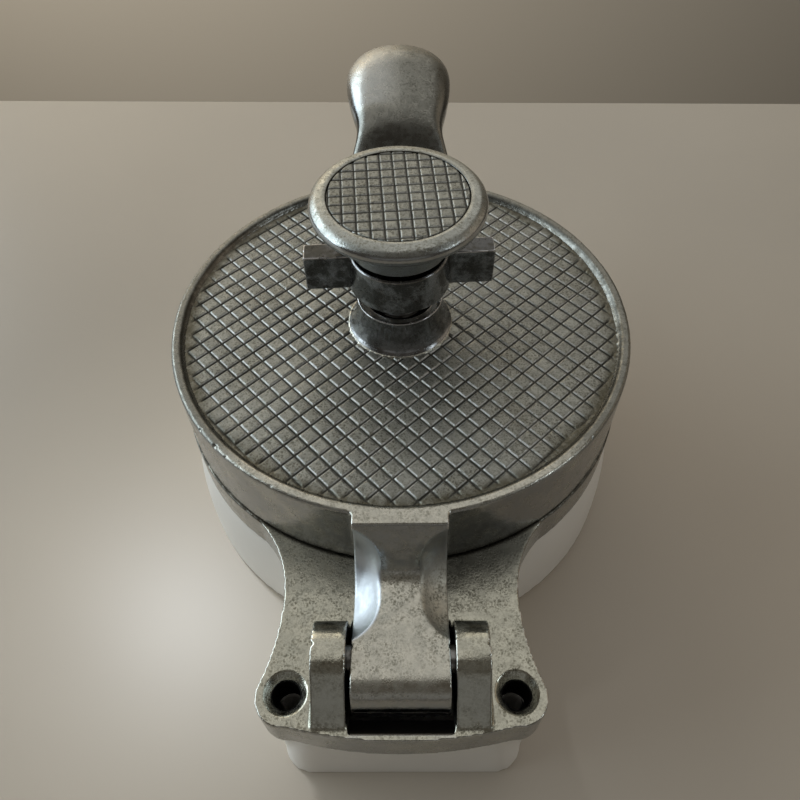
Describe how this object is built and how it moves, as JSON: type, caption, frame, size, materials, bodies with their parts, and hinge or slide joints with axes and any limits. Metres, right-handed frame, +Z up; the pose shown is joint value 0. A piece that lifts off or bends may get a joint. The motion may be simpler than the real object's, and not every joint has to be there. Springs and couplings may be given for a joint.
{
  "type": "adjustable hamburger press",
  "caption": "Round hinged patty press in cast aluminium with a checkered lid, palm knob plunger, winged depth collar, lift handle and screw-down hinge plate.",
  "frame": {"origin": "on the plunger's axis at the underside of the pedestal, where the press stands on a table", "axes": "+Z up along the plunger, +Y from the hinge towards the lid's handle, +X to the right seen from the hinge"},
  "size_m": [0.131, 0.2283, 0.1043],
  "materials": {
    "cast_aluminium": "worn die cast, pale on top with dark speckle",
    "polished_aluminium": "polished, scuffed",
    "steel": "plain, slightly dull",
    "pedestal_plastic": "smooth satin"
  },
  "bodies": {
    "base": {"base_casting": "cast_aluminium", "pedestal": "pedestal_plastic", "pedestal_screws": "steel", "hinge_pin": "steel"},
    "lid": {"lid_casting": "cast_aluminium"},
    "plunger": {"press_plate": "polished_aluminium", "plunger_stem": "steel", "plate_screw": "steel", "knob": "polished_aluminium", "knob_set_screw": "steel"},
    "collar_carrier": {"collar_washer": "steel"},
    "collar": {"wing_collar": "polished_aluminium"}
  },
  "joints": [
    {"name": "lid_hinge", "type": "hinge", "parent": "base", "child": "lid", "pos_m": [0, -0.0875, 0.044], "axis": [1, 0, 0], "range_deg": [0, 110]},
    {"name": "plunger_travel", "type": "slide", "parent": "lid", "child": "plunger", "axis": [0, 0, 1], "range_m": [0, 0.012]},
    {"name": "collar_travel", "type": "slide", "parent": "plunger", "child": "collar_carrier", "axis": [0, 0, 1], "range_m": [-0.0054, 0.00132]},
    {"name": "collar_turn", "type": "hinge", "parent": "collar_carrier", "child": "collar", "pos_m": [0, 0, 0.0828], "axis": [0, 0, 1], "range_deg": [-1110, 270]}
  ],
  "couplings": [
    {"joint": "collar_travel", "follows": "collar_turn", "m_per_rad": 0.00027852}
  ]
}
